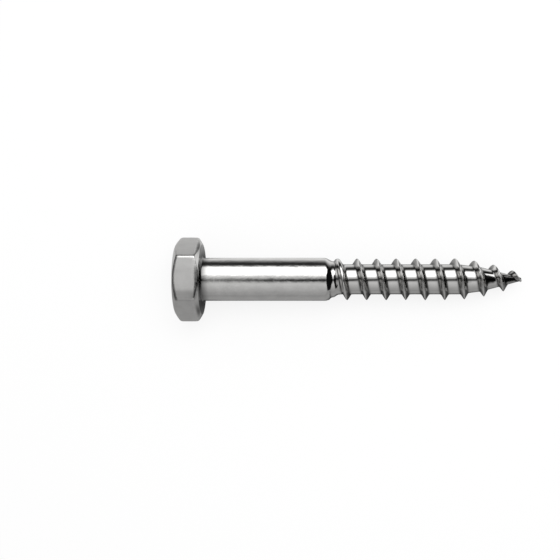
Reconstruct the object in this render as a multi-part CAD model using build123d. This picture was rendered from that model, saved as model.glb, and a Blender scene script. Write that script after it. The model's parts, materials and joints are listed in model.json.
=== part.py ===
from build123d import *
import os
from math import atan2, cos, degrees, pi, radians, sin, tan

# Hex-head lag screw, size 10 by 75: one length of steel wire with its head forged and trimmed to a
# hexagon, and its coarse wood thread and gimlet point rolled. Millimetres and degrees.
# It is drawn along +X, from the bearing face under the head (x = 0) to the tip, with two corners of
# the head on +Y and -Y, and is laid down at the end as it comes to rest on a table.

# Head
across_flats = 17.0
head_height = 6.0
crown_diameter = 15.9  # flat disc that the crown chamfer leaves
bearing_diameter = 16.3  # flat ring that the chamfer underneath leaves
chamfer_angle = 30.0  # of both chamfers, from the flats that they leave
corner_radius = 0.4  # on the six edges between the sides

# Shank
length = 73.5  # from the bearing face to the tip
shank_length = 29.0  # plain part, up to where it runs down to the thread's root
shank_diameter = 9.9
neck_radius = 0.6  # fillet between the shank and the head
run_out_angle = 24.0  # of the cone from the shank down to the root

# Right-hand thread
pitch = 4.5
crest_diameter = 9.6
root_diameter = 6.9
thread_angle = 60.0  # between the two flanks of the ridge
crest_land = 0.2  # width left flat on top of the ridge
thread_clock = 191.0  # where the crest leaves the plain shank, turned from +Y towards +Z

# Gimlet point
point_length = 11.8  # of its cone
point_ease = 2.6  # the root turns into the cone at half its slope, from this far before to this far after
tip_radius = 0.35
stop_share = 0.5  # height of the ridge where it stops at the tip, as a share of its full height
stop_turns = 0.45  # turns over which it comes down to that

across_corners = across_flats / cos(radians(30))
chamfer_slope = tan(radians(chamfer_angle))
shank_radius = shank_diameter / 2
root_radius = root_diameter / 2
ridge_height = (crest_diameter - root_diameter) / 2
run_out_end = shank_length + (shank_radius - root_radius) / tan(radians(run_out_angle))
point_slope = (root_radius - tip_radius) / point_length
cone_start = length - point_length
ease_start = cone_start - point_ease
ease_end = cone_start + point_ease
ridge_end = length - tip_radius


def make_head():
    """A hexagonal prism with its corners turned off at both ends.

    It is one half and its mirror image, so that the edge which meets the table is the same to the
    left and right of the middle.
    """
    hexagon = RegularPolygon(across_flats / 2, 6, major_radius=False)
    hexagon = fillet(hexagon.vertices(), corner_radius)
    prism = Plane.YZ.offset(-head_height) * extrude(hexagon, head_height)
    crown_radius = crown_diameter / 2
    bearing_radius = bearing_diameter / 2
    clear_radius = across_corners / 2 + corner_radius
    turning = Polyline(
        (-head_height, 0),
        (-head_height, crown_radius),
        (-head_height + (clear_radius - crown_radius) * chamfer_slope, clear_radius),
        (-(clear_radius - bearing_radius) * chamfer_slope, clear_radius),
        (0, bearing_radius),
        (0, 0),
        close=True,
    )
    half = split(prism & revolve(make_face(turning), Axis.X), Plane.XZ, keep=Keep.TOP)
    return half + mirror(half, Plane.XZ)


def root_at(x):
    """Radius of the thread's root at x: a cylinder, an easing cone and the cone of the point."""
    if x <= ease_start:
        return root_radius
    if x <= ease_end:
        return root_radius - (x - ease_start) * point_slope / 2
    return root_radius - (x - cone_start) * point_slope


def make_core():
    """Shank, run-out, thread root and point as one turned solid that reaches into the head."""
    inside = -head_height / 2
    flare = shank_radius + neck_radius
    bow = neck_radius * (1 - cos(pi / 4))
    foot = Polyline((inside, 0), (inside, flare), (0, flare))
    neck = ThreePointArc((0, flare), (bow, shank_radius + bow), (neck_radius, shank_radius))
    barrel = Polyline(
        (neck_radius, shank_radius),
        (shank_length, shank_radius),
        (run_out_end, root_radius),
        (ease_start, root_radius),
        (ease_end, root_at(ease_end)),
        (ridge_end, root_at(ridge_end)),
        (length, 0),
        (inside, 0),
    )
    return revolve(make_face([foot, neck, barrel]), Axis.X)


def ridge_height_at(x):
    """Height of the ridge over the root at x: full, and less over its last part of a turn."""
    fade = max(0, 1 - (ridge_end - x) / (stop_turns * pitch))
    return ridge_height * (1 - fade * (1 - stop_share))


def ridge_corner(x, side, on_crest):
    """A corner of the ridge's section with its crest at x. Side -1 faces the head and 1 the point.

    The ridge's foot is let into the core, to the same share of the root's radius as that is of the
    crest's, and its flanks keep the thread angle down to it.
    """
    let_in = root_diameter / crest_diameter
    height = ridge_height_at(x)
    turned = radians(thread_clock) + 2 * pi * (x - shank_length) / pitch
    at = x + side * crest_land / 2
    radius = root_at(x) + height
    if not on_crest:
        at += side * (height + root_at(x) * (1 - let_in)) * tan(radians(thread_angle / 2))
        radius = root_at(at) * let_in
    return Vector(at, radius * cos(turned), radius * sin(turned))


def ridge_edge(stations, side, on_crest):
    """The helix of one corner through even stations.

    Its tangents are lengthened across the axis as an arc's are, which keeps the curve on the helix.
    """
    step = stations[1] - stations[0]
    arc = 2 * pi * step / pitch
    stretch = 4 * tan(arc / 4) / arc
    near = step / 1000
    tangents = []
    for x in stations:
        chord = ridge_corner(x + near, side, on_crest) - ridge_corner(x - near, side, on_crest)
        slope = chord / (2 * near)
        tangents.append(Vector(slope.X, slope.Y * stretch, slope.Z * stretch))
    points = [ridge_corner(x, side, on_crest) for x in stations]
    return Edge.make_spline(points, tangents=tangents, parameters=stations, scale=False)


def make_ridge():
    """The thread's ridge as a closed solid: ruled faces between four helical edges, turn by turn."""
    corners = [(-1, False), (-1, True), (1, True), (1, False)]
    quarters = 4
    start = shank_length - pitch / quarters
    turns = round((ridge_end - start) / pitch)
    step = (ridge_end - start) / (turns * quarters)
    faces = []
    for turn in range(turns):
        stations = [start + (turn * quarters + i) * step for i in range(quarters + 1)]
        edges = [ridge_edge(stations, *corner) for corner in corners]
        for edge, after in zip(edges, edges[1:] + edges[:1]):
            faces.append(Face.make_surface_from_curves(edge, after))
    for x in (start, ridge_end):
        section = Polyline(*[ridge_corner(x, *corner) for corner in corners], close=True)
        faces.append(Face(Wire(section.edges())))
    return Solid(Shell(faces))


def lay_down(screw):
    """Dips the point until a crest meets the table that the head's lower side stands on.

    The origin is then on the table, under the middle of the screw's box.
    """
    heel = -max(0, across_flats - bearing_diameter) / 2 * chamfer_slope
    lowest = shank_length + pitch * (270 - thread_clock) / 360
    dips = []
    while lowest < ridge_end:
        gap = across_flats / 2 - root_at(lowest) - ridge_height_at(lowest)
        dips.append(degrees(atan2(gap, lowest - heel)))
        lowest += pitch
    dipped = Rot(0, min(dips), 0) * screw
    box = dipped.bounding_box()
    return Pos(-box.center().X, -box.center().Y, -box.min.Z) * dipped


os.makedirs("parts", exist_ok=True)
lag_screw = lay_down(make_head() + make_core() + make_ridge())
export_step(lag_screw, "parts/lag_screw.step")
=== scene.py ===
import json
from math import atan2, cos, pi, radians, sin, tan

import bmesh
import bpy
import numpy as np
from bpy.props import FloatProperty, FloatVectorProperty, PointerProperty
from mathutils import Matrix, Vector


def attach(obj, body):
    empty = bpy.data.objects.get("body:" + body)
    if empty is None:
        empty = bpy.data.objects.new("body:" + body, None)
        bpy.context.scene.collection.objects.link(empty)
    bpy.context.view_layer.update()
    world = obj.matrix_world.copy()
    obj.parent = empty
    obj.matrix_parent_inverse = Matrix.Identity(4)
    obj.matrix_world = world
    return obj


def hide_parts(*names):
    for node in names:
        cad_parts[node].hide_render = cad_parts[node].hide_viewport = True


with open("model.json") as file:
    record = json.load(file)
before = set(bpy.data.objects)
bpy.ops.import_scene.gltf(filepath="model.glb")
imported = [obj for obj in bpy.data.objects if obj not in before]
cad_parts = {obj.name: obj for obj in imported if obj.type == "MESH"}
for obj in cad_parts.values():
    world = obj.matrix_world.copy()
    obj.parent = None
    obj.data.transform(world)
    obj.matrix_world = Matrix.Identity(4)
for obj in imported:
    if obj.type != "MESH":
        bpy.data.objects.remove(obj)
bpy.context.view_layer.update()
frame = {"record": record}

bl_info = {
    "name": "Hex-head lag screw",
    "version": (1, 0, 0),
    "blender": (4, 5, 0),
    "location": "3D View > Sidebar > Lag screw",
    "description": "A forged hex-head wood screw with a rolled thread, and the light tent it lies in",
    "category": "Add Mesh",
}

MM = 0.001
NODE = "lag_screw"

# The mesh
COLUMNS = 216  # points round the axis, a sixth of them to each side of the head
CROWDING = 0.86  # how far the head's columns are drawn to its corners, from 0 to under 1
BEND_ROWS = 8  # in each rounded corner of the head's profile
LONGEST_REACH = 0.45  # of a rounded corner, as a share of the straight run that it takes from
SHORT_CELL = 0.06  # first and last cell of a straight run, as a share of it
HEAD_CELLS = [7, 3, 9, 3, 5]  # along the crown, its chamfer, the side, its chamfer and the bearing face
NECK_ROWS = 8
SHANK_ROWS = 18
TURN_BACK = (2, 10)  # rows before and after the neck's start in which the columns become even again
GRID_BACK = 1.6  # turns before the shank's end at which the helical grid takes over
# Where points lie from a crest to the middle between two crests, as shares of the last number
ACROSS_TURN = [0, 0.05, 0.1, 0.15, 0.21, 0.32, 0.48, 0.62, 0.74, 0.84, 0.94, 1.08, 1.3, 1.65, 2.05, 2.25]
TIP_RINGS = 6
TIP_CAP = 0.12 * MM  # length of the tip past the helical grid
WELD = 0.0006 * MM

# Reach of the rounded corners of the head's profile: both ways from the crown's rim, on each chamfer from the
# side, and both ways from the bearing face's rim
CROWN_BEND, CROWN_EDGE, SEAT_EDGE, SEAT_BEND = 0.25 * MM, 0.5 * MM, 0.2 * MM, 0.15 * MM

# The run-out: how far before the shank's end it starts, and past that end a narrow land, then a slope that
# comes down to a little over the root
RUN_OUT_BACK = 0.5 * MM
LAND_START, LAND_END = 0.9 * MM, 1.3 * MM
SLOPE_END, SLOPE_LEFT = 2.35 * MM, 0.05 * MM
MEAN_REACH, MEAN_STEPS = 0.25 * MM, 9  # of the mean that rounds the core's corners, each way

# The ridge
CREST_SPAN = 0.5 + 1e-6  # pitches past a crest that count to it: over half, so that ties go towards the head
RISE_TURNS = 0.5  # turns over which it comes up, before the shank's end
FIRST_LAND = 0.5 * MM  # how much wider its land is at first
WIDE_UNTIL = (0.5, 1)  # turns past the shank's end between which that goes back to nothing
CREST_ROUNDING, FOOT_ROUNDING = 0.14 * MM, 0.16 * MM
STOP_TURNS, STOP_SHARE = 0.45, 0.5  # turns over which it gets lower at the tip, and its share of height there
STOP_FALL = 0.25 * MM  # length in which it then goes down
LEAST_HEIGHT = 0.02 * MM  # below it there is no ridge
SURFACE_WAVE, CREST_WAVE = 0.012 * MM, 0.01 * MM  # half the depth of two slow waves in its height
SURFACE_SWING, SURFACE_START = 3.4, 0.8  # radians a pitch, and at the bearing face
CREST_SWING = 0.9  # radians a millimetre


def rest_axis():
    """Middle of the bearing face and the direction from the head to the point, as packed."""
    mounts = {mount["name"]: mount for mount in frame["record"]["mounts"]}
    along = Vector(mounts["shank"]["axis"])
    on_axis = Vector(mounts["shank"]["pos_m"])
    seat = Vector(mounts["bearing_face"]["pos_m"])
    return on_axis + (seat - on_axis).dot(along) * along, along


def rest_placement():
    """Matrix from the screw's own frame, +X from the bearing face to the point, to where it lies."""
    seat, along = rest_axis()
    dip = atan2(-along.z, along.x)
    return Matrix.Translation(seat) @ Matrix.Rotation(dip, 4, "Y")


def length(name, description, millimetres):
    """A property that holds a length, with its default in millimetres."""
    default = millimetres * MM
    return FloatProperty(name=name, description=description, default=default, unit="LENGTH", precision=5)


class LagScrewSizes(bpy.types.PropertyGroup):
    """Sizes of the screw"""

    across_flats: length("Across flats", "Distance between two opposite sides of the head", 17.0)
    head_height: length("Head height", "From the bearing face to the crown", 6.0)
    crown_diameter: length("Crown", "Flat disc on top of the head", 15.9)
    bearing_diameter: length("Bearing face", "Flat ring under the head", 16.3)
    corner_radius: length("Corner radius", "Of the six edges between the sides", 0.8)
    crown_roll: length("Crown roll", "How far along a side its soft edge at the crown reaches", 0.6)
    seat_roll: length("Seat roll", "How far along a side its soft edge at the bearing face reaches", 0.9)
    shank_length: length("Shank length", "From the bearing face to where the shank runs down", 29.0)
    shank_diameter: length("Shank diameter", "Of the plain part", 9.9)
    neck_radius: length("Neck radius", "Fillet between the shank and the head", 0.6)
    overall: length("Length", "From the bearing face to the tip", 73.5)
    pitch: length("Pitch", "Of the thread", 4.5)
    run_out_step: length("Run-out step", "Depth of the narrow land that the dies leave past the shank", 0.8)
    crest_diameter: length("Crest diameter", "Of the thread", 9.6)
    root_diameter: length("Root diameter", "Of the thread", 6.9)
    crest_land: length("Crest land", "Width left on top of the ridge", 0.2)
    point_length: length("Point length", "Of the gimlet point's cone", 11.8)
    point_ease: length("Point ease", "Half the stretch over which the root turns into the cone", 2.6)
    tip_radius: length("Tip radius", "Of the root where the ridge stops", 0.35)
    chamfer_angle: FloatProperty(
        name="Chamfer", description="Of both chamfers, from the flats that they leave",
        default=radians(30), subtype="ANGLE",
    )
    run_out_angle: FloatProperty(
        name="Run-out", description="Of a plain cone from the shank to the root, as long as the run-out",
        default=radians(24), subtype="ANGLE",
    )
    flank_angle: FloatProperty(
        name="Flank", description="Of each side of the ridge, from square to the axis",
        default=radians(30), subtype="ANGLE",
    )
    thread_clock: FloatProperty(
        name="Thread clock", description="Where the crest leaves the shank, turned from +Y towards +Z",
        default=radians(191), subtype="ANGLE",
    )


class SteelFinish(bpy.types.PropertyGroup):
    """Colour and roughness of its steel"""

    colour: FloatVectorProperty(
        name="Steel", description="Colour of the bright stainless steel",
        default=(0.64, 0.635, 0.625), subtype="COLOR", size=3, min=0, max=1,
    )
    forged_roughness: FloatProperty(
        name="Forged", description="Roughness of the head's sides and crown", default=0.3, min=0, max=1,
    )
    rolled_roughness: FloatProperty(
        name="Rolled", description="Roughness of the shank and the thread", default=0.075, min=0, max=1,
    )


class StageSettings(bpy.types.PropertyGroup):
    """Floor, lamp, light tent and camera"""

    floor_colour: FloatVectorProperty(
        name="Floor", description="Colour of the floor", default=(0.92, 0.92, 0.92), subtype="COLOR", size=3,
        min=0, max=1,
    )
    lamp_power: FloatProperty(
        name="Lamp", description="Of the soft lamp overhead", default=0.5, min=0, unit="POWER",
    )
    tent_radius: length("Tent radius", "Of the arch of card round the screw", 150.0)
    camera_distance: length("Camera distance", "From the screw's axis", 210.0)
    camera_lens: FloatProperty(
        name="Lens", description="Focal length of the camera", default=58.5, min=1, unit="CAMERA",
    )
    camera_along: length("Camera along", "Place of the camera along the screw, from the bearing face", 25.0)
    camera_across: length("Camera across", "Place of the camera across the screw", -0.15)
    camera_yaw: FloatProperty(
        name="Yaw", description="Turn of the camera towards the point", default=radians(0.4), subtype="ANGLE",
    )
    camera_tilt: FloatProperty(
        name="Tilt", description="Turn of the camera towards +Y", default=radians(-2.4), subtype="ANGLE",
    )
    camera_shift: FloatProperty(name="Shift", description="Of the lens, sideways", default=-0.055)


def smooth_step(value, low, high):
    """Cubic from 0 at low to 1 at high: 3 t squared less 2 t cubed."""
    t = np.clip((value - low) / (high - low), 0, 1)
    return t * t * (3 - 2 * t)


def soft_max(a, b, blend):
    """The larger of a and b, joined by a fillet.

    It is their mean, plus half the root of the sum of their gap squared and blend squared.
    """
    return (a + b + np.sqrt((a - b) ** 2 + blend**2)) / 2


def on_axis_frame(x, radius, turned):
    """Points at x along the axis, radius from it, and turned from +Y towards +Z."""
    x, radius, turned = np.broadcast_arrays(x, radius, turned)
    return np.stack([x, radius * np.cos(turned), radius * np.sin(turned)], axis=-1)


def grid_faces(rows, columns, first, closed):
    """Four corners of each cell of a grid whose points are numbered row by row."""
    across = columns if closed else columns - 1
    i, j = np.meshgrid(np.arange(rows - 1), np.arange(across), indexing="ij")
    k = (j + 1) % columns
    corners = [i * columns + j, (i + 1) * columns + j, (i + 1) * columns + k, i * columns + k]
    return first + np.stack(corners, axis=-1).reshape(-1, 4)


def make_object(name, grids, placement, weld=0.0):
    """A mesh of several grids of points, each with its rows closed round or open.

    Each grid is (points by row and column, closed). With weld, points nearer than that become one, cells that
    a clip has closed to a line fall out, and the surface has to come out closed and facing outwards.
    """
    points, faces, first = [], [], 0
    for grid, closed in grids:
        rows, columns = grid.shape[:2]
        points.append(grid.reshape(-1, 3))
        faces.append(grid_faces(rows, columns, first, closed))
        first += rows * columns
    mesh = bpy.data.meshes.new(name)
    mesh.from_pydata(np.concatenate(points), [], np.concatenate(faces))
    if weld:
        work = bmesh.new()
        work.from_mesh(mesh)
        bmesh.ops.remove_doubles(work, verts=work.verts, dist=weld)
        bmesh.ops.dissolve_degenerate(work, edges=work.edges, dist=weld)
        bmesh.ops.recalc_face_normals(work, faces=work.faces)
        if any(len(edge.link_faces) != 2 for edge in work.edges) or work.calc_volume(signed=True) <= 0:
            raise RuntimeError(f"the surface of {name} isn't closed, or faces inward")
        work.to_mesh(mesh)
        work.free()
    mesh.transform(placement)
    mesh.polygons.foreach_set("use_smooth", np.ones(len(mesh.polygons), dtype=bool))
    mesh.update()
    piece = bpy.data.objects.new(name, mesh)
    bpy.context.scene.collection.objects.link(piece)
    return piece


def hexagon_radius(sizes, turned):
    """Radius of a hexagon with rounded corners.

    On a side it is the apothem over the cosine of the angle off the side's middle. In a corner, with c the
    distance of the arc's centre, it is c times the cosine off the corner, plus the root of the rounding
    squared less the square of c times the sine.
    """
    apothem, rounding = sizes.across_flats / 2, sizes.corner_radius
    off = np.abs((turned + pi / 6) % (pi / 3) - pi / 6)
    centre = (apothem - rounding) / cos(pi / 6)
    arc_end = atan2(rounding * sin(pi / 6), centre + rounding * cos(pi / 6))
    arc = centre * np.cos(off) + np.sqrt(np.maximum(rounding**2 - (centre * np.sin(off)) ** 2, 0))
    return np.where(off < arc_end, arc, apothem / np.cos(pi / 6 - off))


def head_columns():
    """Angles round the axis, crowded to the head's six corners: even ones less a share of their own sine."""
    share = np.arange(COLUMNS) / COLUMNS * 6
    return pi / 3 * (share - CROWDING * np.sin(2 * pi * share) / (2 * pi))


def rounded_profile(corners, reaches, cells):
    """A line through corners with each inner one rounded by a parabola, as rows of points for every column.

    Corners are arrays of (x, radius). A parabola runs from its reach before the corner to its reach after it,
    and weighs the three by (1 - t) squared, 2 t (1 - t) and t squared. Each straight run has its own cells.
    """
    rows = [corners[0]]
    for index in range(1, len(corners) - 1):
        before, corner, after = corners[index - 1], corners[index], corners[index + 1]
        ends = []
        for other, reach in ((before, reaches[index - 1][0]), (after, reaches[index - 1][1])):
            way = other - corner
            size = np.linalg.norm(way, axis=-1, keepdims=True)
            ends.append(corner + way / size * np.minimum(reach, LONGEST_REACH * size))
        rows += straight(rows[-1], ends[0], cells[index - 1])
        for t in np.linspace(0, 1, BEND_ROWS + 1)[1:]:
            rows.append((1 - t) ** 2 * ends[0] + 2 * t * (1 - t) * corner + t**2 * ends[1])
    rows += straight(rows[-1], corners[-1], cells[-1])
    return np.array(rows)


def straight(start, end, cells):
    """Rows from start to end, without start, at even steps between a short first cell and a short last one.

    The short cells keep the shading flat between them.
    """
    inner = np.linspace(SHORT_CELL, 1 - SHORT_CELL, cells - 1)
    return [start + (end - start) * share for share in [*inner, 1.0]]


def core_radius(sizes, x):
    """Radius of the shank, run-out, root and point at x, without the ridge.

    It is a line through the shank's end, a narrow land, the root, the two ends of its ease into the cone, and
    the tip. The mean of that line over a short stretch each way rounds its corners, and past the ridge's end
    it falls as a quarter of a circle does.
    """
    shank, root = sizes.shank_diameter / 2, sizes.root_diameter / 2
    cone_start = sizes.overall - sizes.point_length
    slope = (root - sizes.tip_radius) / sizes.point_length
    stop = sizes.overall - sizes.tip_radius
    ease_start, ease_end = cone_start - sizes.point_ease, cone_start + sizes.point_ease
    knots = [
        (sizes.shank_length - RUN_OUT_BACK, shank),
        (sizes.shank_length + LAND_START, shank - sizes.run_out_step),
        (sizes.shank_length + LAND_END, shank - sizes.run_out_step),
        (sizes.shank_length + SLOPE_END, root + SLOPE_LEFT),
        (sizes.shank_length + (shank - root) / tan(sizes.run_out_angle), root),
        (ease_start, root),
        (ease_end, root - (ease_end - cone_start) * slope),
        (stop, root - (stop - cone_start) * slope),
    ]
    at, radius = np.array(knots).T
    offsets = np.linspace(-MEAN_REACH, MEAN_REACH, MEAN_STEPS)
    mean = np.mean([np.interp(x + offset, at, radius) for offset in offsets], axis=0)
    past = np.clip((x - stop) / sizes.tip_radius, 0, 1)
    return mean * np.sqrt(1 - past**2)


def surface_radius(sizes, x, turned):
    """Radius of the shank and thread at x and turned: the core, or the ridge where it stands out of it.

    The ridge's crest lies on a helix. Away from its land the height falls by the distance over the tangent of
    the flank angle, with the crest and the foot rounded. It comes up before the shank's end, has a wider land
    on its first turn, and gets lower towards the tip. Two sine waves, less 1, leave it a little uneven.
    """
    crests = sizes.shank_length + sizes.pitch * (turned - sizes.thread_clock) / (2 * pi)
    crest = crests + sizes.pitch * np.ceil((x - crests) / sizes.pitch - CREST_SPAN)
    full = (sizes.crest_diameter - sizes.root_diameter) / 2
    stop = sizes.overall - sizes.tip_radius
    fade = np.clip(1 - (stop - crest) / (STOP_TURNS * sizes.pitch), 0, 1)
    height = full * (1 - fade * (1 - STOP_SHARE)) * smooth_step(-crest, -(stop + STOP_FALL), -stop)
    height = height * smooth_step(crest, sizes.shank_length - RISE_TURNS * sizes.pitch, sizes.shank_length)
    off = np.abs(x - crest)
    turns_on = (crest - sizes.shank_length) / sizes.pitch
    land = (sizes.crest_land + FIRST_LAND * (1 - smooth_step(turns_on, *WIDE_UNTIL))) / 2
    down = soft_max(off - land, 0 * off, CREST_ROUNDING) / tan(sizes.flank_angle)
    rest = soft_max(-land, 0, CREST_ROUNDING) / tan(sizes.flank_angle)
    wander = SURFACE_WAVE * (np.sin(SURFACE_SWING * x / sizes.pitch + SURFACE_START) - 1)
    wander = wander + CREST_WAVE * (np.sin(CREST_SWING * crest / MM) - 1)
    core = core_radius(sizes, x)
    root = np.minimum(core, sizes.root_diameter / 2)
    ridge = root + height - (down - rest) + wander * (height > 0)
    return np.where(height > LEAST_HEIGHT, soft_max(core, ridge, FOOT_ROUNDING), core)


def head_and_shank(sizes, end):
    """The grid from the crown's middle over the head and along the shank to end.

    Round the axis it follows the rounded hexagon; along it, a line through the crown's middle and rim, the
    side's two ends, the bearing face's rim and the neck, with every corner rounded.
    """
    turned = head_columns()
    side = hexagon_radius(sizes, turned)
    slope = tan(sizes.chamfer_angle)
    crown, bearing = sizes.crown_diameter / 2, sizes.bearing_diameter / 2
    flare = sizes.shank_diameter / 2 + sizes.neck_radius
    level = np.ones_like(side)
    corners = [
        (-sizes.head_height * level, 0 * level),
        (-sizes.head_height * level, crown * level),
        (-sizes.head_height + (side - crown) * slope, side),
        (-(side - bearing) * slope, side),
        (0 * level, bearing * level),
        (0 * level, flare * level),
    ]
    corners = [np.stack(corner, axis=-1) for corner in corners]
    reaches = [
        (CROWN_BEND, CROWN_BEND),
        (CROWN_EDGE, sizes.crown_roll),
        (sizes.seat_roll, SEAT_EDGE),
        (SEAT_BEND, SEAT_BEND),
    ]
    rows = rounded_profile(corners, reaches, HEAD_CELLS)
    quarter = np.linspace(0, pi / 2, NECK_ROWS + 1)[1:]
    neck_x = sizes.neck_radius * (1 - np.cos(quarter))
    neck_radius = flare - sizes.neck_radius * np.sin(quarter)
    shank_x = neck_x[-1] + (end - neck_x[-1]) * np.arange(1, SHANK_ROWS + 1) / SHANK_ROWS
    x = np.concatenate([rows[..., 0], np.tile(np.concatenate([neck_x, shank_x])[:, None], COLUMNS)])
    tail = np.concatenate([neck_radius, np.full(SHANK_ROWS, sizes.shank_diameter / 2)])
    radius = np.concatenate([rows[..., 1], np.tile(tail[:, None], COLUMNS)])
    ease = smooth_step(np.arange(len(x)), len(rows) - TURN_BACK[0], len(rows) + TURN_BACK[1])[:, None]
    even = 2 * pi * np.arange(COLUMNS) / COLUMNS
    return on_axis_frame(x, radius, turned * (1 - ease) + even * ease)


def shank_and_thread(sizes, start, end):
    """The grid from start to end that follows the thread.

    One way along it is the turn, the other the share of a pitch. A point lies at its turn's own start plus
    its share of the pitch, clipped to start and end, so that the first and last turns close on flat rings.
    The shares crowd at the ridge's crest and feet. The last point of a turn takes the radius of the next
    turn's first, which closes the seam between them.
    """
    half = np.array(ACROSS_TURN) / ACROSS_TURN[-1] / 2
    shares = np.concatenate([-half[:0:-1], half]) + 0.5
    first = sizes.shank_length - sizes.pitch * (sizes.thread_clock / (2 * pi) + 0.5)
    turns = np.arange(-2 * COLUMNS, int((end - first) / sizes.pitch * COLUMNS) + COLUMNS + 1)
    from_turn = first + sizes.pitch * turns / COLUMNS
    x = np.clip(from_turn[:, None] + sizes.pitch * shares[None, :], start, end)
    turned = (2 * pi * turns / COLUMNS)[:, None]
    radius = surface_radius(sizes, x, turned)
    radius = np.where(x <= start, sizes.shank_diameter / 2, radius)
    radius[:-COLUMNS, -1] = radius[COLUMNS:, 0]
    return on_axis_frame(x, radius, turned)


def tip_cap(sizes, start):
    """Rings from start to the tip: along by the sine and out by the cosine of steps of a quarter turn."""
    quarter = np.linspace(0, pi / 2, TIP_RINGS)[:, None]
    shrink = np.cos(quarter)
    shrink[-1] = 0
    turned = (2 * pi * np.arange(COLUMNS) / COLUMNS)[None, :]
    x = start + (sizes.overall - start) * np.sin(quarter)
    return on_axis_frame(x, surface_radius(sizes, start, turned) * shrink, turned)


# The finish
HEAD_END = (-1.2 * MM, -0.7 * MM)  # where the forged finish passes into the drawn one
THREAD_START = (-0.5 * MM, 1.5 * MM)  # where that passes into the burnished one, past the shank's end
NOISE_ROUGHNESS = 0.55
BLOTCH_RANGE = (0.3, 0.7)  # of the blotches' noise, which is spread over the tones
BLOTCH_TONES, BLOTCH_ROUGHNESS = (0.93, 1.05), 0.06
# Painted shade, and darker steel at the tip, darken the colour by the first share and add the second to the
# roughness
SHADE_AND_DULL_DARKER, SHADE_AND_DULL_ROUGHER = 0.75, 0.05  # how much darker and rougher the dull steel is
BUMP_HEIGHT = 0.055 * MM
WAVES, RIPPLES, GRAIN, DRAWN = 0.5, 0.8, 0.03, 0.006  # heights of the patterns, as shares of BUMP_HEIGHT
WAVES_FADE, RIPPLES_FADE = 0.45, 0.7  # how much of them the thread's rolling takes away

# Marks that make the steel darker and rougher, full where no share is given: painted shade in the ridge's
# feet, round the neck, under the head and along one edge of its side, and darker steel towards the tip
# Painted shade in the two feet of the ridge, where its flanks meet the root
FOOT_MIDDLE, FOOT_WIDTH = 0.9 * MM, 0.25 * MM  # from the crest's middle
FOOT_START = 0.3 * MM  # past the shank's end
# Painted shade in the corner where the shank meets the head
NECK_WIDTH, NECK_BACK = 1.2 * MM, 0.5 * MM  # all round where the shank meets the head, and back into the head
# Painted shade under the head, behind the middle of each side
RIM_SHARE, RIM_MIDDLE, RIM_WIDTH = 0.95, 0.3 * MM, 0.55 * MM  # behind the bearing face
RIM_BACK = 0.6 * MM  # in from that face's rim
# Painted shade along one edge of the head's side, the one turned towards -Y
SIDE_SHARE, SIDE_MIDDLE, SIDE_WIDTH = 0.45, 114.5, 7  # turned from +Y towards +Z, in degrees
SIDE_BACK = 0.5 * MM  # from both ends of the side
TIP_SHARE, TIP_REACH = 0.5, (6 * MM, 2.5 * MM)  # from the tip, where it starts and where it is full


class Shader:
    """A node tree with the few calls that its materials need."""

    def __init__(self, tree):
        self.tree = tree
        tree.nodes.clear()

    def node(self, kind, settings=None, inputs=None, output=0):
        """Adds a node of a kind with its settings and sockets, and wraps one of its outputs if it has any."""
        made = self.tree.nodes.new(kind)
        for name, value in (settings or {}).items():
            setattr(made, name, value)
        for name, value in (inputs or {}).items():
            if isinstance(value, Socket):
                self.tree.links.new(value.socket, made.inputs[name])
            else:
                made.inputs[name].default_value = value
        return Socket(self, made.outputs[output]) if made.outputs else None


class Socket:
    """An output socket that takes part in Python sums."""

    def __init__(self, shader, socket):
        self.shader, self.socket = shader, socket

    def maths(self, operation, first, second):
        return self.shader.node("ShaderNodeMath", {"operation": operation}, {0: first, 1: second})

    def __add__(self, other):
        return self.maths("ADD", self, other)

    def __sub__(self, other):
        return self.maths("SUBTRACT", self, other)

    def __rsub__(self, other):
        return self.maths("SUBTRACT", other, self)

    def __mul__(self, other):
        return self.maths("MULTIPLY", self, other)

    def clamped(self):
        return self.maths("MINIMUM", self.maths("MAXIMUM", self, 0.0), 1.0)

    __radd__, __rmul__ = __add__, __mul__


def new_material(name):
    """A material with an empty node tree, and the Shader that fills it."""
    material = bpy.data.materials.new(name)
    material.use_nodes = True
    return material, Shader(material.node_tree)


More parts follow.
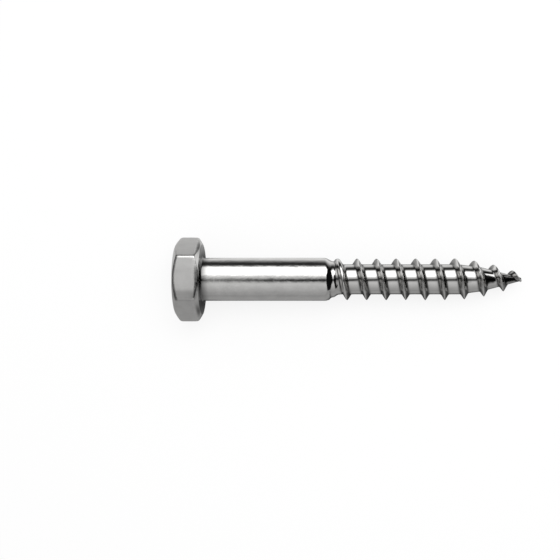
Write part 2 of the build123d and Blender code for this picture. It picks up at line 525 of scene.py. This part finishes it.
def bright_steel(sizes, finish):
    """Bright stainless steel, soft on the forged head, drawn smooth on the shank and burnished on the thread.

    Patterns sit in the screw's own frame: a Mapping node turns and moves Object coordinates back onto it.
    Their scales are per metre. Where the surface carries painted shade, or the darker steel towards the tip,
    it is darker and rougher. The height is a sum of slow waves all over, ripples off the head, grain on it,
    and fine drawn lines along the plain shank.
    """
    material, s = new_material("bright_steel")
    back = rest_placement().inverted()
    coordinates = s.node("ShaderNodeTexCoord", output=3)
    own = s.node(
        "ShaderNodeMapping", {"vector_type": "POINT"},
        {"Vector": coordinates, "Location": back.to_translation(), "Rotation": back.to_euler()},
    )
    x = s.node("ShaderNodeSeparateXYZ", {}, {"Vector": own})

    def noise(scale, detail, stretch=(1, 1, 1)):
        stretched = s.node("ShaderNodeMapping", {"vector_type": "POINT"}, {"Vector": own, "Scale": stretch})
        return s.node("ShaderNodeTexNoise", {}, {
            "Vector": stretched, "Scale": scale, "Detail": detail, "Roughness": NOISE_ROUGHNESS,
        })

    def spread(kind, value, before, after):
        return s.node("ShaderNodeMapRange", {"interpolation_type": kind}, {
            "Value": value, "From Min": before[0], "From Max": before[1],
            "To Min": after[0], "To Max": after[1],
        })

    thread_start = [sizes.shank_length + past for past in THREAD_START]
    on_head = 1 - spread("SMOOTHSTEP", x, HEAD_END, (0.0, 1.0))
    threaded = spread("SMOOTHSTEP", x, thread_start, (0.0, 1.0))
    # Painted shade, with darker steel towards the tip, read from the point attribute
    painted_shade_and_dull = s.node("ShaderNodeAttribute", {"attribute_name": "painted_shade_and_dull"}, output=2)

    waves = noise(210, 2, (0.6, 1.5, 1.5))
    ripples = noise(620, 2)
    grain = noise(2600, 3)
    drawn = noise(5200, 2, (0.04, 1, 1))
    blotch = noise(420, 3)

    tone = spread("LINEAR", blotch, BLOTCH_RANGE, BLOTCH_TONES)
    # The colour is darkened where shade is painted in the point attribute, and towards the tip
    colour = s.node(
        "ShaderNodeVectorMath", {"operation": "SCALE"},
        {0: tuple(finish.colour), "Scale": tone * (1 - painted_shade_and_dull * SHADE_AND_DULL_DARKER)},
    )
    roughness = (
        finish.rolled_roughness
        + on_head * (finish.forged_roughness - finish.rolled_roughness)
        + (blotch - 0.5) * BLOTCH_ROUGHNESS
        + painted_shade_and_dull * SHADE_AND_DULL_ROUGHER
    ).clamped()

    height = (
        waves * (1 - WAVES_FADE * threaded) * WAVES
        + ripples * (1 - on_head) * (1 - RIPPLES_FADE * threaded) * RIPPLES
        + grain * on_head * GRAIN
        + drawn * (1 - on_head) * (1 - threaded) * DRAWN
    )
    bump = s.node("ShaderNodeBump", {}, {"Height": height, "Strength": 1.0, "Distance": BUMP_HEIGHT})
    shader = s.node("ShaderNodeBsdfPrincipled", {}, {
        "Base Color": colour, "Metallic": 1.0, "Roughness": roughness, "Normal": bump,
    })
    s.node("ShaderNodeOutputMaterial", {}, {"Surface": shader})
    return material


def write_values(piece, name, values):
    """Gives each point of a piece its value in an attribute."""
    attribute = piece.data.attributes.new(name, "FLOAT", "POINT")
    attribute.data.foreach_set("value", values.astype(np.float32).ravel())


def mark_painted_shade_and_dull(piece, sizes):
    """Writes at each point a sum of marks that darken and roughen the steel: painted shade in the ridge's two
    feet, round the neck, on the rim under the head and on one stretch of the head's side, and darker steel
    towards the tip.

    At the ridge's two feet and round the neck a mark is exp(-t squared), where t is the distance from its
    middle over its width. On the rim under the head and on one stretch of the head's side it is exp(-t to the
    fourth), on the rim times half of 1 less the cosine of six times the angle. The last comes up to the tip.
    """
    flat = np.zeros(len(piece.data.vertices) * 3)
    piece.data.vertices.foreach_get("co", flat)
    back = np.array(rest_placement().inverted())
    own = flat.reshape(-1, 3) @ back[:3, :3].T + back[:3, 3]
    x, turned = own[:, 0], np.arctan2(own[:, 2], own[:, 1])
    out = np.hypot(own[:, 1], own[:, 2])

    # Painted shade in the ridge's feet
    crests = sizes.shank_length + sizes.pitch * (turned - sizes.thread_clock) / (2 * pi)
    off = np.abs(x - crests - sizes.pitch * np.round((x - crests) / sizes.pitch))
    painted_shade_and_dull = np.exp(-(((off - FOOT_MIDDLE) / FOOT_WIDTH) ** 2)) * (x > sizes.shank_length + FOOT_START)

    # Painted shade round the neck
    from_neck = np.hypot(x, out - sizes.shank_diameter / 2)
    painted_shade_and_dull += np.exp(-((from_neck / NECK_WIDTH) ** 2)) * (x > -NECK_BACK)

    # Painted shade under the head's rim, strongest behind the middles of the sides
    flats = 0.5 - 0.5 * np.cos(6 * turned)
    on_rim = out > sizes.bearing_diameter / 2 - RIM_BACK
    painted_shade_and_dull += RIM_SHARE * flats * np.exp(-(((x + RIM_MIDDLE) / RIM_WIDTH) ** 4)) * on_rim

    # Painted shade along one edge of the head's side
    on_side = (x < -SIDE_BACK) * (x > SIDE_BACK - sizes.head_height)
    painted_shade_and_dull += SIDE_SHARE * np.exp(-(((np.degrees(turned) - SIDE_MIDDLE) / SIDE_WIDTH) ** 4)) * on_side

    painted_shade_and_dull += TIP_SHARE * smooth_step(x, sizes.overall - TIP_REACH[0], sizes.overall - TIP_REACH[1])
    write_values(piece, "painted_shade_and_dull", painted_shade_and_dull)


# The tent. Places are along the screw from the bearing face, in mm, and angles from overhead towards +Y, in
# degrees. Brightness 1 is white.
TENT_STRETCH = 1.3  # its reach from the middle towards the point, in radii: towards the head it is 1
TENT_CELLS = (72, 360)  # along it and round it
AXIS_LOW, AXIS_HIGH = 4 * MM, 9 * MM  # its axis follows the screw's between these heights
ARCH_EDGE = 93  # angle at which the arch ends and its apron over the floor begins, on either side
OVER_FLOOR = 0.6 * MM  # height of the apron
END_CELLS = (7, 72)  # of its ends, along their radius and round them
END_OVERLAP = 1.03  # their radius, in radii of the arch
END_LIGHT = (0.1, 0.006)  # their brightness, behind the head and past the point

# Brightness of the arch by the angle.
ARCH_BANDS = [
    (-95, 0.42), (-75, 0.47), (-50, 0.62), (-30, 0.76), (-8, 0.8), (8, 0.9), (13, 1.05), (18, 1.5), (23, 2.1),
    (60, 2.1), (65, 1.4), (69, 0.8), (74, 0.3), (78, 0.06), (87, 0.03), (95, 0.04),
]
# A dark line along the arch: its middle and half its width by the angle, and its strength by place.
LINE_MIDDLE, LINE_WIDTH = -7, 11
LINE_STRENGTH = [(-22, 0.1), (-8, 0.6), (10, 0.82), (28, 0.97)]
# Share of the arch's brightness that is left by place: overhead, low on its -Y side, and halfway down and low
# on its +Y side. Under them, the angles over which the arch passes from overhead to each.
ALONG_TOP = [(-62, 0.12), (-30, 1.0), (138, 1.0), (158, 0.006), (200, 0.006)]
ALONG_NEAR_SIDE = [(-62, 0.12), (-30, 1.0), (178, 1.0), (200, 0.006)]
ALONG_FAR_SIDE = [(-62, 0.12), (-30, 1.0), (184, 1.0), (193, 0.006)]
ALONG_FAR_FOOT = [(-62, 0.12), (-30, 1.0), (126, 1.0), (136, 0.006), (174, 0.006), (182, 1.0), (196, 0.006)]
TO_NEAR_SIDE, TO_FAR_SIDE, TO_FAR_FOOT = (25, 45), (26, 38), (62, 72)
# Half the width of the screw's own shade on the floor by place, in mm.
SHADE_BANDS = [(-22, -6), (-7, 8.5), (1, 8.5), (4, 5), (28, 4.8), (33, 6), (60, 4.7), (72, 2), (80, -4)]
# Brightness of the apron by the distance out of that shade, in mm, on the -Y side and on the +Y side.
APRON_NEAR = [(0, 0.05), (1.5, 0.14), (3, 0.3), (5, 0.4), (15, 0.42), (39, 0.38), (145, 0.42)]
APRON_FAR = [
    (-2.5, 0.03), (0, 0.3), (2.5, 0.42), (4.5, 1.0), (6, 1.0), (11, 0.8), (18, 0.5), (30, 0.22), (60, 0.08),
    (145, 0.04),
]
# A patch of the apron beside the head, on the +Y side: its brightness, how far behind the bearing face it
# starts, and the distances out of the shade between which it comes and goes.
PATCH_LIGHT, PATCH_BEHIND, PATCH_COMES, PATCH_GOES = 0.7, (2.5, 6), (3, 6), (30, 40)

# The rest of the stage, with lengths in metres
FLOOR_REACH = 0.9  # from its middle to each side
PLAIN_WHITE = 0.82  # share of the floor, where it is seen, that is plain white
WORLD_LIGHT = 0.72  # strength of the world where it lights things: it is 1 where it is seen
LAMP_PLACE, LAMP_SIZE = (0.03, 0.09, 0.30), 0.25


def table(rows, at):
    """Value at a place between the rows of a table of (place, value)."""
    places, values = np.array(rows, dtype=float).T
    return np.interp(at, places, values)


def tent_grid(settings):
    """The arch of card round the screw with its apron over the floor, and the brightness of both.

    Its points go by place along the axis and angle round it. Their distance from the axis is its radius, and
    below the axis no more than reaches just over the floor: the height over the cosine of the angle.
    """
    seat, along = rest_axis()
    reach = settings.tent_radius
    x = np.linspace(-reach, TENT_STRETCH * reach, TENT_CELLS[0] + 1)
    angle = np.radians(np.linspace(-180, 180, TENT_CELLS[1] + 1))
    xs, turned = np.meshgrid(x, angle, indexing="ij")
    axis = np.clip(seat.z + (xs - seat.x) * along.z / along.x, AXIS_LOW, AXIS_HIGH)
    down = np.maximum(-np.cos(turned), 1e-6)
    away = np.minimum(reach, np.where(np.cos(turned) < 0, (axis - OVER_FLOOR) / down, reach))
    across = away * np.sin(turned)
    points = np.stack([xs, across, axis + away * np.cos(turned)], axis=-1)
    degree, place = np.degrees(turned), (xs - seat.x) / MM
    line = table(LINE_STRENGTH, place) * np.exp(-(((degree - LINE_MIDDLE) / LINE_WIDTH) ** 2))
    near_side = smooth_step(-degree, *TO_NEAR_SIDE)
    far_foot = smooth_step(degree, *TO_FAR_FOOT)
    far_side = smooth_step(degree, *TO_FAR_SIDE) - far_foot
    left = (
        table(ALONG_TOP, place) * (1 - near_side - far_side - far_foot)
        + table(ALONG_NEAR_SIDE, place) * near_side
        + table(ALONG_FAR_SIDE, place) * far_side
        + table(ALONG_FAR_FOOT, place) * far_foot
    )
    arch = table(ARCH_BANDS, degree) * (1 - line) * left

    out = np.abs(across) / MM - table(SHADE_BANDS, place)
    comes, goes = smooth_step(out, *PATCH_COMES), smooth_step(out, *PATCH_GOES)
    patch = smooth_step(-place, *PATCH_BEHIND) * comes * (1 - goes)
    far = table(APRON_FAR, out) * (1 - patch) + PATCH_LIGHT * patch
    apron = np.where(across > 0, far, table(APRON_NEAR, out))
    return points, np.where(np.abs(degree) < ARCH_EDGE, arch, apron)


def tent_ends(settings):
    """Two discs that close the tent, with points by the share of the radius and the angle round the middle.

    Across is that share of the radius times the sine of the angle, and up is it times the cosine.
    """
    share = np.linspace(0, END_OVERLAP, END_CELLS[0] + 1)
    angle = np.radians(np.linspace(-180, 180, END_CELLS[1] + 1))
    share, turned = np.meshgrid(share, angle, indexing="ij")
    reach = settings.tent_radius
    across, up = share * reach * np.sin(turned), share * reach * np.cos(turned)
    return [np.stack([0 * share + x, across, up], axis=-1) for x in (-reach, TENT_STRETCH * reach)]


def glow(name):
    """A material that only shines, as bright as the light that the piece carries."""
    material, s = new_material(name)
    bright = s.node("ShaderNodeAttribute", {"attribute_name": "light"}, output=2)
    shader = s.node("ShaderNodeEmission", {}, {"Color": (1, 1, 1, 1), "Strength": bright})
    s.node("ShaderNodeOutputMaterial", {}, {"Surface": shader})
    return material


def backdrop_share(s):
    """1 for rays from the camera, a reflection or glass, and 0 for the rest."""
    path = {}
    node = s.tree.nodes.new("ShaderNodeLightPath")
    for name in ("Is Camera Ray", "Is Glossy Ray", "Is Transmission Ray"):
        path[name] = Socket(s, node.outputs[name])
    return (path["Is Camera Ray"] + path["Is Glossy Ray"] + path["Is Transmission Ray"]).clamped()


def floor_material(settings):
    """White card: where it is seen, most of it is plain white, and the rest takes light and shadow."""
    material, s = new_material("white_floor")
    card = s.node("ShaderNodeBsdfDiffuse", {}, {"Color": (*settings.floor_colour, 1)})
    white = s.node("ShaderNodeEmission", {}, {"Color": (1, 1, 1, 1), "Strength": 1.0})
    mixed = s.node("ShaderNodeMixShader", {}, {0: backdrop_share(s) * PLAIN_WHITE, 1: card, 2: white})
    s.node("ShaderNodeOutputMaterial", {}, {"Surface": mixed})
    return material


class LAGSCREW_OT_screw(bpy.types.Operator):
    """Builds the screw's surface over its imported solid"""

    bl_idname = "lagscrew.screw"
    bl_label = "Screw"

    def execute(self, context):
        sizes, finish = context.scene.lag_screw_sizes, context.scene.lag_screw_finish
        start = sizes.shank_length - GRID_BACK * sizes.pitch
        end = sizes.overall - TIP_CAP
        grids = [
            (head_and_shank(sizes, start), True),
            (shank_and_thread(sizes, start, end), False),
            (tip_cap(sizes, end), True),
        ]
        piece = make_object("screw", grids, rest_placement(), weld=WELD)
        mark_painted_shade_and_dull(piece, sizes)
        piece.data.materials.append(bright_steel(sizes, finish))
        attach(piece, "root")
        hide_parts(NODE)
        return {"FINISHED"}


class LAGSCREW_OT_stage(bpy.types.Operator):
    """Sets the floor, the light tent, the lamp, the world and the camera"""

    bl_idname = "lagscrew.stage"
    bl_label = "Stage"

    def execute(self, context):
        scene = context.scene
        settings = scene.lag_screw_stage
        side = np.array([-FLOOR_REACH, FLOOR_REACH])
        x, y = np.meshgrid(side, side, indexing="ij")
        floor = make_object("floor", [(np.stack([x, y, 0 * x], axis=-1), False)], Matrix.Identity(4))
        floor.data.materials.append(floor_material(settings))

        points, light = tent_grid(settings)
        tent = make_object("tent", [(points, False)], Matrix.Identity(4))
        write_values(tent, "light", light)
        tent.data.materials.append(glow("tent_card"))

        ends = tent_ends(settings)
        caps = make_object("tent_ends", [(end, False) for end in ends], Matrix.Identity(4))
        write_values(caps, "light", np.repeat(END_LIGHT, len(caps.data.vertices) // 2))
        caps.data.materials.append(glow("tent_end_card"))
        for card in (tent, caps):
            card.visible_camera = card.visible_diffuse = card.visible_shadow = False
            card.visible_transmission = card.visible_volume_scatter = False

        hang_lamp(scene, settings)
        surround(scene)
        place_camera(scene, settings)
        scene.view_settings.view_transform = "Standard"
        return {"FINISHED"}


def hang_lamp(scene, settings):
    """A soft round lamp overhead, aimed at the middle and left out of reflections."""
    lamp = bpy.data.lights.new("overhead", "AREA")
    lamp.shape, lamp.size, lamp.energy = "DISK", LAMP_SIZE, settings.lamp_power
    holder = bpy.data.objects.new("overhead", lamp)
    holder.location = LAMP_PLACE
    holder.rotation_euler = (-holder.location).to_track_quat("-Z", "Y").to_euler()
    holder.visible_glossy = False
    scene.collection.objects.link(holder)


def surround(scene):
    """A plain white world, white where it is seen and a little less where it only lights."""
    world = bpy.data.worlds.new("studio")
    world.use_nodes = True
    s = Shader(world.node_tree)
    strength = WORLD_LIGHT + backdrop_share(s) * (1 - WORLD_LIGHT)
    background = s.node("ShaderNodeBackground", {}, {"Color": (1, 1, 1, 1), "Strength": strength})
    s.node("ShaderNodeOutputWorld", {}, {"Surface": background})
    scene.world = world


def place_camera(scene, settings):
    """Camera square over the screw's axis, in the screw's own frame, its right towards the point."""
    data = bpy.data.cameras.new("camera")
    data.lens, data.sensor_width, data.shift_x = settings.camera_lens, 36.0, settings.camera_shift
    data.clip_start, data.clip_end = 0.01, 10
    camera = bpy.data.objects.new("camera", data)
    aim = Matrix.Translation((settings.camera_along, settings.camera_across, 0))
    turn = Matrix.Rotation(-settings.camera_tilt, 4, "X") @ Matrix.Rotation(settings.camera_yaw, 4, "Y")
    camera.matrix_world = rest_placement() @ aim @ turn @ Matrix.Translation((0, 0, settings.camera_distance))
    scene.collection.objects.link(camera)
    scene.camera = camera


class LAGSCREW_PT_panel(bpy.types.Panel):
    """Lists the screw's sizes, its finish and the operators"""

    bl_idname = "LAGSCREW_PT_panel"
    bl_label = "Lag screw"
    bl_space_type = "VIEW_3D"
    bl_region_type = "UI"
    bl_category = "Lag screw"

    def draw(self, context):
        scene = context.scene
        for group in (scene.lag_screw_sizes, scene.lag_screw_finish, scene.lag_screw_stage):
            column = self.layout.column(align=True)
            for name in group.__annotations__:
                column.prop(group, name)
        self.layout.operator(LAGSCREW_OT_screw.bl_idname)
        self.layout.operator(LAGSCREW_OT_stage.bl_idname)


CLASSES = (
    LagScrewSizes, SteelFinish, StageSettings, LAGSCREW_OT_screw, LAGSCREW_OT_stage, LAGSCREW_PT_panel,
)


def register():
    for made in CLASSES:
        bpy.utils.register_class(made)
    bpy.types.Scene.lag_screw_sizes = PointerProperty(type=LagScrewSizes)
    bpy.types.Scene.lag_screw_finish = PointerProperty(type=SteelFinish)
    bpy.types.Scene.lag_screw_stage = PointerProperty(type=StageSettings)


def unregister():
    del bpy.types.Scene.lag_screw_stage
    del bpy.types.Scene.lag_screw_finish
    del bpy.types.Scene.lag_screw_sizes
    for made in reversed(CLASSES):
        bpy.utils.unregister_class(made)


def main():
    register()
    bpy.ops.lagscrew.screw()
    bpy.ops.lagscrew.stage()


if __name__ == "__main__":
    main()
